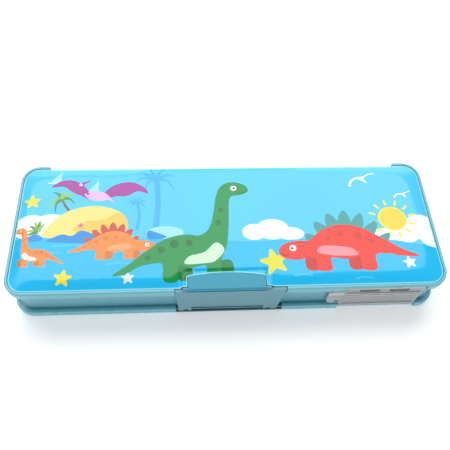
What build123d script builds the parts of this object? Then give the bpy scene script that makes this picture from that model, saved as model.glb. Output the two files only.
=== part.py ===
from build123d import *
import os

os.makedirs("parts", exist_ok=True)

# Pencil box: a padded, printed cover on a shallow moulded tray, with a lid that opens at the
# back, a magnetic latch at the front and a clear drawer with a pencil sharpener at the right.
# +X is the long side to the right, +Y points to the hinge, +Z is up. The origin is the middle
# of the box's foot print, on the surface that the box lies on. Millimetres.

# ---- driving dimensions -------------------------------------------------------------------
LENGTH = 230.0          # over the rims, along X
DEPTH = 80.0            # over the rims, along Y
CORNER_R = 10.0         # outer corner of both rims
RIM_T = 1.6             # rim wall
RIM_H = 5.0             # rim height
PAD_PROUD = 1.0         # the bottom pad stands this far below the base rim
LID_RIM_TOP = 28.8
PLATE_T = 1.4           # floor plate of each frame
PLATE_DROP = 2.4        # from the outer rim edge to the floor plate
WALL_IN = 3.0           # the tray's wall stands this far inside the rims
WALL_T = 1.8            # tray wall
TRAY_TOP = 24.6
TRAY_FLOOR_T = 1.6
REAR_RETURN_X = 100.0   # the rims run round the rear corners and end here

LATCH_HALF = 28.5       # half width of the latch plate
LATCH_NOTCH = 29.0      # half width of the rims' notch for it
LATCH_T = 1.6
LATCH_FRONT = -39.9     # front face of the latch plate
TAB_X0, TAB_X1 = -22.0, 18.0
TAB_TOP = 30.3
PIN_Y, PIN_Z, PIN_R = -38.85, 28.85, 0.50
BARREL_R = 1.05
PIN_CLEAR = 0.05
LUG_W = 2.4             # hinge lugs of the latch plate, beside the tab
GAP = 0.3               # side gap between the tab and the latch ears

BAY_X0, BAY_X1 = 60.5, 102.9    # opening in the tray's front wall
BAY_BACK = -13.6                # inner face of the bay's rear wall
BIN_CLEAR = 0.4
BIN_WALL = 1.2
PANEL_FRONT, PANEL_BACK = -39.3, -37.9
PANEL_RIB = 0.6         # raised lines on the panel
PANEL_Z0, PANEL_Z1 = 2.4, 27.3
WING_X0 = 52.6
WINDOW_X0, WINDOW_X1 = BAY_X0 - 0.6, BAY_X1 + 0.6     # gap in the rims for the drawer
RAIL_BACK = -37.6       # the frames' front rails end here
STRIP_H = 1.8           # height of the base rim under the latch plate
LEDGE_T = 0.8           # and of the ledge behind it

BASE_RIM_BOT = PAD_PROUD
BASE_RIM_TOP = PAD_PROUD + RIM_H
BASE_PLATE_BOT = BASE_RIM_BOT + PLATE_DROP
BASE_PLATE_TOP = BASE_PLATE_BOT + PLATE_T
LID_RIM_BOT = LID_RIM_TOP - RIM_H
LID_PLATE_TOP = LID_RIM_TOP - PLATE_DROP
LID_PLATE_BOT = LID_PLATE_TOP - PLATE_T
TRAY_BOT = BASE_PLATE_TOP
TRAY_FLOOR = TRAY_BOT + TRAY_FLOOR_T
TRAY_L, TRAY_D = LENGTH - 2 * WALL_IN, DEPTH - 2 * WALL_IN
TRAY_R = CORNER_R - WALL_IN
RIM_IN_L, RIM_IN_D, RIM_IN_R = LENGTH - 2 * RIM_T, DEPTH - 2 * RIM_T, CORNER_R - RIM_T
PAD_GAP = 0.3           # between the padded covers and the rims
PAD_L, PAD_D, PAD_R = RIM_IN_L - 2 * PAD_GAP, RIM_IN_D - 2 * PAD_GAP, RIM_IN_R - PAD_GAP
SKIN_T = 0.7            # cover sheet
SCREW_XY = [(107.6, 29.0), (-107.6, 29.0), (107.6, -29.0), (-107.6, -29.0)]
DIVIDER_Y0, DIVIDER_Y1 = BAY_BACK, BAY_BACK + 1.4
RACK_X = (-62.0, 62.0)
MAGNET_X = (-13.0, 11.0)


def save(item, name):
    """Label a finished piece and write it to its own file."""
    item.label = name
    export_step(item, "parts/" + name + ".step")


def at_z(part, z):
    """The edges of a part that lie wholly at one height."""
    return part.edges().filter_by_position(Axis.Z, z - 0.001, z + 0.001)


def save_frame(frame, side, spans):
    """Saves a frame with its front rail in pieces of their own, one for each span along X."""
    for piece, (x0, x1) in spans.items():
        with BuildPart() as rail:
            add(frame)
            with Locations(((x0 + x1) / 2, -DEPTH / 2, TAB_TOP / 2)):
                Box(x1 - x0, 2 * (DEPTH / 2 + RAIL_BACK), 2 * TAB_TOP, mode=Mode.INTERSECT)
        save(rail.part, f"{side}_{piece}")
    with BuildPart() as rest:
        add(frame)
        with Locations((0, -DEPTH / 2, TAB_TOP / 2)):
            Box(LENGTH + 1, 2 * (DEPTH / 2 + RAIL_BACK), 2 * TAB_TOP, mode=Mode.SUBTRACT)
    save(rest.part, f"{side}_frame")


# ---- base frame: rim and floor plate under the tray ---------------------------------------
with BuildPart() as base_frame:
    with BuildSketch(Plane.XY.offset(BASE_RIM_BOT)):
        RectangleRounded(LENGTH, DEPTH, CORNER_R)
    extrude(amount=RIM_H)
    fillet(at_z(base_frame, BASE_RIM_BOT), 0.7)
    fillet(at_z(base_frame, BASE_RIM_TOP), 0.5)
    # pocket for the bottom pad, then the seat of the tray
    with BuildSketch(Plane.XY.offset(BASE_RIM_BOT)):
        RectangleRounded(RIM_IN_L, RIM_IN_D, RIM_IN_R)
    extrude(amount=PLATE_DROP, mode=Mode.SUBTRACT)
    with BuildSketch(Plane.XY.offset(BASE_PLATE_TOP)):
        RectangleRounded(RIM_IN_L, RIM_IN_D, RIM_IN_R)
    extrude(amount=RIM_H, mode=Mode.SUBTRACT)
    # the rim is open at the back and in front of the drawer
    with BuildSketch(Plane.XY.offset(BASE_RIM_BOT - 1)):
        with Locations((0, DEPTH / 2)):
            Rectangle(2 * REAR_RETURN_X, 6.0)
        with Locations(((WINDOW_X0 + WINDOW_X1) / 2, -DEPTH / 2)):
            Rectangle(WINDOW_X1 - WINDOW_X0, 2 * (DEPTH / 2 + RAIL_BACK))
    extrude(amount=RIM_H + 2, mode=Mode.SUBTRACT)
    # under the latch only a low, thin lip of the rim runs on, with a ledge behind it
    with BuildSketch(Plane.XY.offset(BASE_RIM_BOT + STRIP_H)):
        with Locations((0, -DEPTH / 2)):
            Rectangle(2 * LATCH_NOTCH, 6.0)
    extrude(amount=RIM_H, mode=Mode.SUBTRACT)
    with BuildSketch(Plane.XY.offset(BASE_RIM_BOT + LEDGE_T)):
        with Locations((0, -DEPTH / 2 + 2.2)):
            Rectangle(2 * LATCH_NOTCH, 2.4)
    extrude(amount=RIM_H, mode=Mode.SUBTRACT)
    # countersunk holes for the tray screws
    with Locations(*[(x, y, BASE_PLATE_TOP - 1.2) for x, y in SCREW_XY]):
        Cylinder(1.35, 6.0, mode=Mode.SUBTRACT)
    with Locations(*[(x, y, BASE_PLATE_BOT + 0.55) for x, y in SCREW_XY]):
        Cone(2.45, 1.35, 1.1, mode=Mode.SUBTRACT)
save_frame(base_frame.part, "base", {"rail_left": (-LENGTH / 2, -LATCH_NOTCH),
                                     "latch_strip": (-LATCH_NOTCH, LATCH_NOTCH),
                                     "rail_middle": (LATCH_NOTCH, WINDOW_X0),
                                     "rail_right": (WINDOW_X1, LENGTH / 2)})


# ---- tray ---------------------------------------------------------------------------------
with BuildPart() as tray:
    with BuildSketch(Plane.XY.offset(TRAY_BOT)):
        RectangleRounded(TRAY_L, TRAY_D, TRAY_R)
    extrude(amount=TRAY_TOP - TRAY_BOT)
    with BuildSketch(Plane.XY.offset(TRAY_FLOOR)):
        RectangleRounded(TRAY_L - 2 * WALL_T, TRAY_D - 2 * WALL_T, TRAY_R - WALL_T)
    extrude(amount=TRAY_TOP, mode=Mode.SUBTRACT)
    # two shallow lines run round the outside, below the lid
    for z in (19.4, 21.6):
        with BuildSketch(Plane.XY.offset(z)):
            RectangleRounded(TRAY_L + 2, TRAY_D + 2, TRAY_R + 1)
            RectangleRounded(TRAY_L - 0.6, TRAY_D - 0.6, TRAY_R - 0.3, mode=Mode.SUBTRACT)
        extrude(amount=0.45, mode=Mode.SUBTRACT)
    # the long divider, which is also the rear wall of the drawer bay
    with BuildSketch(Plane.XY.offset(TRAY_FLOOR)):
        with Locations((0, (DIVIDER_Y0 + DIVIDER_Y1) / 2)):
            Rectangle(TRAY_L - 2 * WALL_T + 0.4, DIVIDER_Y1 - DIVIDER_Y0)
    extrude(amount=14.0)
    # bay walls, full height
    with BuildSketch(Plane.XY.offset(TRAY_FLOOR)):
        with Locations((BAY_X0 - 0.8, (BAY_BACK - TRAY_D / 2) / 2)):
            Rectangle(1.6, TRAY_D / 2 + BAY_BACK)
        with Locations((BAY_X1 + 0.8, (BAY_BACK - TRAY_D / 2) / 2)):
            Rectangle(1.6, TRAY_D / 2 + BAY_BACK)
        with Locations(((BAY_X0 + BAY_X1) / 2, BAY_BACK + 0.7)):
            Rectangle(BAY_X1 - BAY_X0 + 3.2, 1.4)
    extrude(amount=TRAY_TOP - TRAY_FLOOR)
    # screw bosses in the corners
    with Locations(*[(x, y, TRAY_FLOOR + 2.0) for x, y in SCREW_XY]):
        Cylinder(2.9, 4.0)
    with Locations(*[(x, y, TRAY_BOT + 2.6) for x, y in SCREW_XY]):
        Cylinder(1.25, 5.2, mode=Mode.SUBTRACT)
    # mouth of the drawer bay
    with BuildSketch(Plane.XY.offset(TRAY_FLOOR)):
        with Locations(((BAY_X0 + BAY_X1) / 2, -TRAY_D / 2)):
            Rectangle(BAY_X1 - BAY_X0, 2 * WALL_T + 1.0)
    extrude(amount=TRAY_TOP, mode=Mode.SUBTRACT)
    # pockets for the two steel keepers behind the latch
    with BuildSketch(Plane.XZ.offset(TRAY_D / 2)):
        with Locations(*[(x, 15.0) for x in MAGNET_X]):
            Rectangle(10.2, 6.2)
    extrude(amount=-1.05, mode=Mode.SUBTRACT)
save(tray.part, "tray")


# ---- steel keepers in the tray's front wall -----------------------------------------------
with BuildPart() as latch_keepers:
    with BuildSketch(Plane.XZ.offset(TRAY_D / 2 - 0.05)):
        with Locations(*[(x, 15.0) for x in MAGNET_X]):
            RectangleRounded(10.0, 6.0, 0.8)
    extrude(amount=-1.0)
save(latch_keepers.part, "latch_keepers")


# ---- four countersunk screws from the base frame into the tray ----------------------------
with BuildPart() as tray_screws:
    with Locations(*[(x, y, BASE_PLATE_BOT + 0.6) for x, y in SCREW_XY]):
        Cone(2.2, 1.1, 1.1)
    with Locations(*[(x, y, BASE_PLATE_BOT + 3.2) for x, y in SCREW_XY]):
        Cylinder(1.1, 6.0)
    with Locations(*[(x, y, BASE_PLATE_BOT + 0.2) for x, y in SCREW_XY]):
        Box(2.6, 0.5, 0.5, mode=Mode.SUBTRACT)
        Box(0.5, 2.6, 0.5, mode=Mode.SUBTRACT)
save(tray_screws.part, "tray_screws")


# ---- padded covers: outlines seen from above ----------------------------------------------
REAR_Y = 37.3           # the pads end here between the rims' rear returns
FRONT_Y = RAIL_BACK     # and here behind the front rails


def pad_outline(inset, notch_y, tab=False):
    """A pad inside the rims, set back at the hinge, the front rails and the latch."""
    with BuildSketch(Plane.XY) as outline:
        RectangleRounded(PAD_L - 2 * inset, PAD_D - 2 * inset, PAD_R - inset)
        with Locations((0, DEPTH / 2)):
            Rectangle(2 * (REAR_RETURN_X - 0.3 + inset), 2 * (DEPTH / 2 - REAR_Y + inset),
                      mode=Mode.SUBTRACT)
        with Locations((0, -DEPTH / 2)):
            Rectangle(LENGTH, 2 * (DEPTH / 2 + FRONT_Y + inset), mode=Mode.SUBTRACT)
        with Locations((0, -DEPTH / 2)):
            Rectangle(2 * (LATCH_NOTCH + 0.3 + inset), 2 * (DEPTH / 2 + notch_y + inset),
                      mode=Mode.SUBTRACT)
        if tab:
            with Locations(((TAB_X0 + TAB_X1) / 2, -DEPTH / 2)):
                Rectangle(TAB_X1 - TAB_X0 + 0.8 + 2 * inset, 2 * (10.2 + inset), mode=Mode.SUBTRACT)
    return outline.sketch


def slab(outline, z0, z1):
    """The outline as a solid between two heights."""
    return extrude(outline.moved(Location((0, 0, z0))), amount=z1 - z0, mode=Mode.PRIVATE)


# ---- bottom pad ---------------------------------------------------------------------------
BASE_NOTCH_Y = -37.2
with BuildPart() as base_cover:
    add(slab(pad_outline(0.0, BASE_NOTCH_Y), 0.0, BASE_PLATE_BOT - 0.05))
    add(slab(pad_outline(SKIN_T, BASE_NOTCH_Y), SKIN_T, BASE_PLATE_BOT), mode=Mode.SUBTRACT)
save(base_cover.part, "base_cover")

with BuildPart() as base_foam:
    add(slab(pad_outline(SKIN_T + 0.2, BASE_NOTCH_Y), SKIN_T + 0.1, BASE_PLATE_BOT - 0.1))
save(base_foam.part, "base_foam")


# ---- spine: a stiff strip and the cover sheet over it, at the back ------------------------
SPINE_X = REAR_RETURN_X - 1.5
with BuildPart() as spine_board:
    with BuildSketch(Plane.XZ.offset(-TRAY_D / 2 - 0.1)):
        with Locations((0, (BASE_RIM_TOP + 22.4) / 2)):
            Rectangle(2 * SPINE_X - 4, 22.4 - BASE_RIM_TOP)
    extrude(amount=-0.8)
save(spine_board.part, "spine_board")

with BuildPart() as spine_cover:
    with BuildSketch(Plane.XZ.offset(-TRAY_D / 2 - 1.0)):
        with Locations((0, (BASE_PLATE_BOT + 23.2) / 2)):
            Rectangle(2 * SPINE_X, 23.2 - BASE_PLATE_BOT)
    extrude(amount=-SKIN_T)
save(spine_cover.part, "spine_cover")


# ---- two notched racks that hold the pencils apart ----------------------------------------
def pencil_rack(x, name):
    """An upright plate across the rear compartment with round notches in its top edge."""
    y0, y1 = DIVIDER_Y1 + 0.2, TRAY_D / 2 - WALL_T - 0.2
    count = 5
    pitch = (y1 - y0) / count
    with BuildPart() as rack:
        with BuildSketch(Plane.YZ.offset(x - 0.8)):
            with Locations(((y0 + y1) / 2, TRAY_FLOOR + 4.6)):
                Rectangle(y1 - y0, 9.2)
            with Locations(*[(y0 + pitch * (i + 0.5), TRAY_FLOOR + 8.4) for i in range(count)]):
                Circle(3.9, mode=Mode.SUBTRACT)
        extrude(amount=1.6)
        with Locations((x, (y0 + y1) / 2, TRAY_FLOOR + 0.6)):
            Box(8.0, y1 - y0, 1.2)
    save(rack.part, name)
    return rack


rack_left = pencil_rack(RACK_X[0], "pencil_rack_left")
rack_right = pencil_rack(RACK_X[1], "pencil_rack_right")


# ---- removable divider of the front compartment -------------------------------------------
with BuildPart() as eraser_divider:
    with Locations((0.0, (DIVIDER_Y0 - TRAY_D / 2 + WALL_T) / 2, TRAY_FLOOR + 6.5)):
        Box(1.4, DIVIDER_Y0 + TRAY_D / 2 - WALL_T - 0.4, 13.0)
    with Locations((0.0, (DIVIDER_Y0 - TRAY_D / 2 + WALL_T) / 2, TRAY_FLOOR + 0.6)):
        Box(7.0, DIVIDER_Y0 + TRAY_D / 2 - WALL_T - 0.4, 1.2)
    fillet(eraser_divider.edges().filter_by(Axis.X).group_by(Axis.Z)[-1], 3.0)
save(eraser_divider.part, "eraser_divider")


# ---- lid frame ----------------------------------------------------------------------------
with BuildPart() as lid_frame:
    with BuildSketch(Plane.XY.offset(LID_RIM_BOT)):
        RectangleRounded(LENGTH, DEPTH, CORNER_R)
    extrude(amount=RIM_H)
    fillet(at_z(lid_frame, LID_RIM_TOP), 0.7)
    fillet(at_z(lid_frame, LID_RIM_BOT), 0.5)
    with BuildSketch(Plane.XY.offset(LID_PLATE_TOP)):
        RectangleRounded(RIM_IN_L, RIM_IN_D, RIM_IN_R)
    extrude(amount=RIM_H, mode=Mode.SUBTRACT)
    with BuildSketch(Plane.XY.offset(LID_RIM_BOT)):
        RectangleRounded(RIM_IN_L, RIM_IN_D, RIM_IN_R)
    extrude(amount=LID_PLATE_BOT - LID_RIM_BOT, mode=Mode.SUBTRACT)
    # open at the back, and at the latch
    with BuildSketch(Plane.XY.offset(LID_RIM_BOT - 1)):
        with Locations((0, DEPTH / 2)):
            Rectangle(2 * REAR_RETURN_X, 6.0)
        with Locations((0, -DEPTH / 2)):
            Rectangle(2 * LATCH_NOTCH, 6.8)
    extrude(amount=RIM_H + 2, mode=Mode.SUBTRACT)
    # above the drawer only the top lip of the rim runs on
    with BuildSketch(Plane.XY.offset(LID_RIM_BOT - 1)):
        with Locations(((WINDOW_X0 + WINDOW_X1) / 2, -DEPTH / 2)):
            Rectangle(WINDOW_X1 - WINDOW_X0, 2 * (DEPTH / 2 + RAIL_BACK))
    extrude(amount=PANEL_Z1 + 0.25 - LID_RIM_BOT + 1, mode=Mode.SUBTRACT)
    # two stiffening ribs inside the lid, clear of the tray's walls and dividers
    with Locations((0, 30.0, LID_PLATE_BOT - 0.4), (0, -8.0, LID_PLATE_BOT - 0.4)):
        Box(190.0, 1.2, 0.8)
    # holes for the two studs of the latch tab
    with Locations((TAB_X0 + 8, -33.6, LID_PLATE_BOT), (TAB_X1 - 8, -33.6, LID_PLATE_BOT)):
        Cylinder(1.6, 6.0, mode=Mode.SUBTRACT)
save_frame(lid_frame.part, "lid", {"rail_left": (-LENGTH / 2, -LATCH_NOTCH),
                                   "rail_middle": (LATCH_NOTCH, WINDOW_X0),
                                   "window_lip": (WINDOW_X0, WINDOW_X1),
                                   "rail_right": (WINDOW_X1, LENGTH / 2)})


# ---- latch tab on the lid, with the hinge barrel ------------------------------------------
with BuildPart() as latch_tab:
    with BuildSketch(Plane.YZ.offset(TAB_X0)):
        with BuildLine():
            Polyline((LATCH_FRONT, PIN_Z), (LATCH_FRONT, TAB_TOP), (-29.8, TAB_TOP),
                     (-29.8, LID_PLATE_TOP + 0.05), (-36.4, LID_PLATE_TOP + 0.05),
                     (-37.2, PIN_Z - 1.2), (PIN_Y, PIN_Z - 0.9), (LATCH_FRONT, PIN_Z))
        make_face()
        with Locations((PIN_Y, PIN_Z)):
            Circle(BARREL_R)
    extrude(amount=TAB_X1 - TAB_X0)
    fillet(latch_tab.edges().filter_by(Axis.X).group_by(Axis.Z)[-1].sort_by(Axis.Y)[0], 0.7)
    # the rear edge is a flat arc
    with BuildSketch(Plane.XY.offset(LID_PLATE_TOP - 1)):
        with BuildLine():
            ThreePointArc((TAB_X0 - 0.1, -32.4), ((TAB_X0 + TAB_X1) / 2, -30.4), (TAB_X1 + 0.1, -32.4))
            Polyline((TAB_X1 + 0.1, -32.4), (TAB_X1 + 0.1, -28.0), (TAB_X0 - 0.1, -28.0),
                     (TAB_X0 - 0.1, -32.4))
        make_face()
    extrude(amount=8.0, mode=Mode.SUBTRACT)
    # studs into the lid plate
    with Locations((TAB_X0 + 8, -33.6, LID_PLATE_TOP - 0.5), (TAB_X1 - 8, -33.6, LID_PLATE_TOP - 0.5)):
        Cylinder(1.5, 1.2)
    with Locations(Location(((TAB_X0 + TAB_X1) / 2, PIN_Y, PIN_Z), (0, 90, 0))):
        Cylinder(PIN_R + PIN_CLEAR, 60.0, mode=Mode.SUBTRACT)
save(latch_tab.part, "latch_tab")

with BuildPart() as latch_pin:
    with Locations(Location(((TAB_X0 + TAB_X1) / 2, PIN_Y, PIN_Z), (0, 90, 0))):
        Cylinder(PIN_R, TAB_X1 - TAB_X0 + 2 * GAP + 2 * LUG_W - 0.4)
save(latch_pin.part, "latch_pin")


# ---- top pad ------------------------------------------------------------------------------
PAD_TOP = 29.8
LID_NOTCH_Y = -36.3

with BuildPart() as lid_cover:
    add(slab(pad_outline(0.0, LID_NOTCH_Y, True), LID_PLATE_TOP + 0.05, PAD_TOP))
    add(slab(pad_outline(SKIN_T, LID_NOTCH_Y, True), LID_PLATE_TOP, PAD_TOP - SKIN_T), mode=Mode.SUBTRACT)
save(lid_cover.part, "lid_cover")

with BuildPart() as lid_foam:
    add(slab(pad_outline(SKIN_T + 0.2, LID_NOTCH_Y, True), LID_PLATE_TOP + 0.1, PAD_TOP - SKIN_T - 0.1))
save(lid_foam.part, "lid_foam")


# ---- latch plate --------------------------------------------------------------------------
CENTRE_TOP = PIN_Z - BARREL_R - 0.25
EAR_TOP = 28.1
EAR_FOOT = 3.2
CENTRE_FOOT = 8.0
with BuildPart() as latch_plate:
    with BuildSketch(Plane.XZ.offset(-(LATCH_FRONT + LATCH_T))):
        with BuildLine():
            Polyline((-LATCH_HALF, EAR_TOP), (-LATCH_HALF + 1.0, EAR_FOOT), (-20.6, EAR_FOOT),
                     (-20.6, CENTRE_FOOT), (18.6, CENTRE_FOOT), (18.6, EAR_FOOT),
                     (LATCH_HALF - 2.6, EAR_FOOT), (LATCH_HALF, EAR_TOP), (TAB_X1 + GAP, EAR_TOP),
                     (TAB_X1 + GAP, CENTRE_TOP), (TAB_X0 - GAP, CENTRE_TOP),
                     (TAB_X0 - GAP, EAR_TOP), (-LATCH_HALF, EAR_TOP))
        make_face()
        # small arched notches in the feet
        with Locations((-23.4, EAR_FOOT), (21.2, EAR_FOOT)):
            Circle(1.5, mode=Mode.SUBTRACT)
    extrude(amount=LATCH_T)
    fillet(latch_plate.edges().filter_by(Axis.Y).group_by(Axis.Z)[0], 0.5)
    # hinge lugs beside the tab
    for x in (TAB_X0 - GAP - LUG_W / 2, TAB_X1 + GAP + LUG_W / 2):
        with Locations(Location((x, PIN_Y, PIN_Z), (0, 90, 0))):
            Cylinder(BARREL_R, LUG_W)
    with Locations(Location(((TAB_X0 + TAB_X1) / 2, PIN_Y, PIN_Z), (0, 90, 0))):
        Cylinder(PIN_R + PIN_CLEAR, TAB_X1 - TAB_X0 + 2 * GAP + 2 * LUG_W + 2, mode=Mode.SUBTRACT)
    # pockets for the magnets in the back face
    with BuildSketch(Plane.XZ.offset(-(LATCH_FRONT + LATCH_T))):
        with Locations(*[(x, 15.0) for x in MAGNET_X]):
            Rectangle(8.2, 6.2)
    extrude(amount=0.95, mode=Mode.SUBTRACT)
save(latch_plate.part, "latch_plate")

with BuildPart() as latch_magnets:
    with BuildSketch(Plane.XZ.offset(-(LATCH_FRONT + LATCH_T - 0.05))):
        with Locations(*[(x, 15.0) for x in MAGNET_X]):
            RectangleRounded(8.0, 6.0, 0.6)
    extrude(amount=0.85)
save(latch_magnets.part, "latch_magnets")


# ---- sharpener drawer: clear bin ----------------------------------------------------------
BIN_X0, BIN_X1 = BAY_X0 + BIN_CLEAR, BAY_X1 - BIN_CLEAR
BIN_BACK = BAY_BACK - 1.0
BIN_Z0, BIN_Z1 = TRAY_FLOOR + 0.3, 23.6
HOLE_Y, HOLE_Z = -27.0, 14.6
with BuildPart() as sharpener_bin:
    with Locations(((BIN_X0 + BIN_X1) / 2, (PANEL_BACK + BIN_BACK) / 2, (BIN_Z0 + BIN_Z1) / 2)):
        Box(BIN_X1 - BIN_X0, BIN_BACK - PANEL_BACK, BIN_Z1 - BIN_Z0)
    fillet(sharpener_bin.edges().filter_by(Axis.Z).group_by(Axis.Y)[-1], 2.0)
    with Locations(((BIN_X0 + BIN_X1) / 2, (PANEL_BACK + BIN_BACK) / 2, (BIN_Z0 + BIN_Z1) / 2 + BIN_WALL)):
        Box(BIN_X1 - BIN_X0 - 2 * BIN_WALL, BIN_BACK - PANEL_BACK - 2 * BIN_WALL, BIN_Z1 - BIN_Z0,
            mode=Mode.SUBTRACT)
    # the pencil goes in through the left wall
    with Locations(Location((BIN_X0 + BIN_WALL / 2, HOLE_Y, HOLE_Z), (0, 90, 0))):
        Cylinder(4.4, 4.0, mode=Mode.SUBTRACT)
save(sharpener_bin.part, "sharpener_bin")


# ---- sharpener drawer: clear front panel with its wing on the left ------------------------
with BuildPart() as drawer_front:
    with BuildSketch(Plane.XZ.offset(-PANEL_BACK)):
        with Locations(((BAY_X0 + BAY_X1) / 2, (PANEL_Z0 + PANEL_Z1) / 2)):
            RectangleRounded(BAY_X1 - BAY_X0, PANEL_Z1 - PANEL_Z0, 1.4)
    extrude(amount=PANEL_BACK - PANEL_FRONT)
    with BuildSketch(Plane.XZ.offset(-PANEL_BACK)):
        with Locations(((WING_X0 + BAY_X0 + 4) / 2, 14.6)):
            RectangleRounded(BAY_X0 + 4 - WING_X0, 14.4, 3.2)
    extrude(amount=1.3)
    # grip: a shallow ledge with two oval recesses in the upper part of the panel
    with BuildSketch(Plane.XZ.offset(-PANEL_FRONT)):
        with Locations((73.6, 23.0), (89.6, 23.0)):
            SlotOverall(11.0, 3.4)
    extrude(amount=-0.8, mode=Mode.SUBTRACT)
    with BuildSketch(Plane.XZ.offset(-PANEL_FRONT)):
        with Locations(((BAY_X0 + BAY_X1) / 2, 19.8), ((BAY_X0 + BAY_X1) / 2, 17.6)):
            RectangleRounded(BAY_X1 - BAY_X0 - 2.0, 0.9, 0.4)
        with Locations(((BAY_X0 + BAY_X1) / 2, 6.2)):
            RectangleRounded(BAY_X1 - BAY_X0 - 2.0, 1.1, 0.4)
        with Locations(((BAY_X0 + BAY_X1) / 2, PANEL_Z1 - 0.9)):
            RectangleRounded(BAY_X1 - BAY_X0 - 2.0, 1.2, 0.4)
    extrude(amount=PANEL_RIB)
    # a small square eye is in the wing
    with Locations((58.4, PANEL_BACK - 1.0, 9.4)):
        Box(2.2, 4.0, 2.2, mode=Mode.SUBTRACT)
save(drawer_front.part, "drawer_front")



# ---- sharpener ----------------------------------------------------------------------------
BLOCK_X0, BLOCK_X1 = BIN_X0 + BIN_WALL + 0.05, BIN_X0 + BIN_WALL + 24.0
BLOCK_Z0, BLOCK_Z1 = BIN_Z0 + BIN_WALL + 0.02, 20.6
with BuildPart() as sharpener_block:
    with Locations(((BLOCK_X0 + BLOCK_X1) / 2, HOLE_Y, (BLOCK_Z0 + BLOCK_Z1) / 2)):
        Box(BLOCK_X1 - BLOCK_X0, 14.0, BLOCK_Z1 - BLOCK_Z0)
    fillet(sharpener_block.edges().filter_by(Axis.X), 1.2)
    # conical pencil hole, and the window where the shaving comes out
    with Locations(Location(((BLOCK_X0 + BLOCK_X1) / 2 - 0.5, HOLE_Y, HOLE_Z), (0, 90, 0))):
        Cone(4.1, 1.1, BLOCK_X1 - BLOCK_X0 + 0.2, mode=Mode.SUBTRACT)
    with Locations(((BLOCK_X0 + BLOCK_X1) / 2 + 1.0, HOLE_Y - 3.4, BLOCK_Z1 - 2.0)):
        Box(17.0, 2.6, 6.0, mode=Mode.SUBTRACT)
    # grip grooves in both sides
    for side in (-7.0, 7.0):
        with Locations(*[(BLOCK_X0 + 5.5 + 3.0 * i, HOLE_Y + side, BLOCK_Z0 + 6) for i in range(5)]):
            Cylinder(0.6, 20.0, mode=Mode.SUBTRACT)
    with Locations(((BLOCK_X0 + BLOCK_X1) / 2 + 1.0, HOLE_Y + 2.2, BLOCK_Z1 - 1.0)):
        Cylinder(0.95, 4.0, mode=Mode.SUBTRACT)
save(sharpener_block.part, "sharpener_block")

BLADE_X = (BLOCK_X0 + BLOCK_X1) / 2 + 1.0
with BuildPart() as sharpener_blade:
    with Locations((BLADE_X, HOLE_Y + 1.4, BLOCK_Z1 + 0.3)):
        Box(19.0, 7.4, 0.5)
    fillet(sharpener_blade.edges().filter_by(Axis.Z), 0.8)
    with Locations((BLADE_X, HOLE_Y + 2.2, BLOCK_Z1)):
        Cylinder(1.05, 4.0, mode=Mode.SUBTRACT)
save(sharpener_blade.part, "sharpener_blade")

with BuildPart() as blade_screw:
    with Locations((BLADE_X, HOLE_Y + 2.2, BLOCK_Z1 + 0.6 + 0.5)):
        Cylinder(1.9, 1.0)
    with Locations((BLADE_X, HOLE_Y + 2.2, BLOCK_Z1 - 0.3)):
        Cylinder(0.9, 2.0)
    with Locations((BLADE_X, HOLE_Y + 2.2, BLOCK_Z1 + 1.6)):
        Box(3.0, 0.5, 1.0, mode=Mode.SUBTRACT)
save(blade_screw.part, "blade_screw")
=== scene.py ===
import math

import bmesh
import bpy
import numpy as np
from mathutils import Matrix, Vector
from mathutils.geometry import delaunay_2d_cdt


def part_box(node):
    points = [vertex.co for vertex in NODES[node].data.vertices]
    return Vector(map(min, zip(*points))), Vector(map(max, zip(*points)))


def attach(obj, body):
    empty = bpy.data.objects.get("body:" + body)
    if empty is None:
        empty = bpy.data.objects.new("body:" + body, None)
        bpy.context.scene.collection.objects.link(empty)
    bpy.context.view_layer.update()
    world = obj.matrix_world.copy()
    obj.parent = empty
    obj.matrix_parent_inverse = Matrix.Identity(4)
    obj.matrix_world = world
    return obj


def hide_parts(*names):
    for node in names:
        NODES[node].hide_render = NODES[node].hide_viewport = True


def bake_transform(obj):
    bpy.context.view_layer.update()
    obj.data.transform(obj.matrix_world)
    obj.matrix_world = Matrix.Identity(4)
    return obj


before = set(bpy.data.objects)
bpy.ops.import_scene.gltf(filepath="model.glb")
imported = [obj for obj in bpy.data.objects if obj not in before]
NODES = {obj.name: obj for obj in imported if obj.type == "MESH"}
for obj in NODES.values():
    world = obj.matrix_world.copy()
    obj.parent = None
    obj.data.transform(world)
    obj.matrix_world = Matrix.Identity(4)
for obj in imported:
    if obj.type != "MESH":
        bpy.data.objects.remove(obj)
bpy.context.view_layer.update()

MM = 0.001


# ---------------------------------------------------------------- small helpers

def srgb(r, g, b):
    """An sRGB colour in bytes as the linear colour that a shader wants."""
    out = []
    for v in (r, g, b):
        v /= 255.0
        out.append(v / 12.92 if v <= 0.04045 else ((v + 0.055) / 1.055) ** 2.4)
    return (*out, 1.0)


def material(name):
    """A new node material with its Principled shader."""
    m = bpy.data.materials.new(name)
    m.use_nodes = True
    return m, m.node_tree.nodes, m.node_tree.links, m.node_tree.nodes["Principled BSDF"]


def noise(nodes, links, coord, scale, detail=3.0, rough=0.5, stretch=None):
    """A noise texture in object space, stretched along an axis if asked."""
    n = nodes.new("ShaderNodeTexNoise")
    n.inputs["Scale"].default_value = scale
    n.inputs["Detail"].default_value = detail
    n.inputs["Roughness"].default_value = rough
    if stretch:
        mp = nodes.new("ShaderNodeMapping")
        mp.inputs["Scale"].default_value = stretch
        links.new(coord, mp.inputs["Vector"])
        links.new(mp.outputs["Vector"], n.inputs["Vector"])
    else:
        links.new(coord, n.inputs["Vector"])
    return n.outputs["Fac"]


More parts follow.
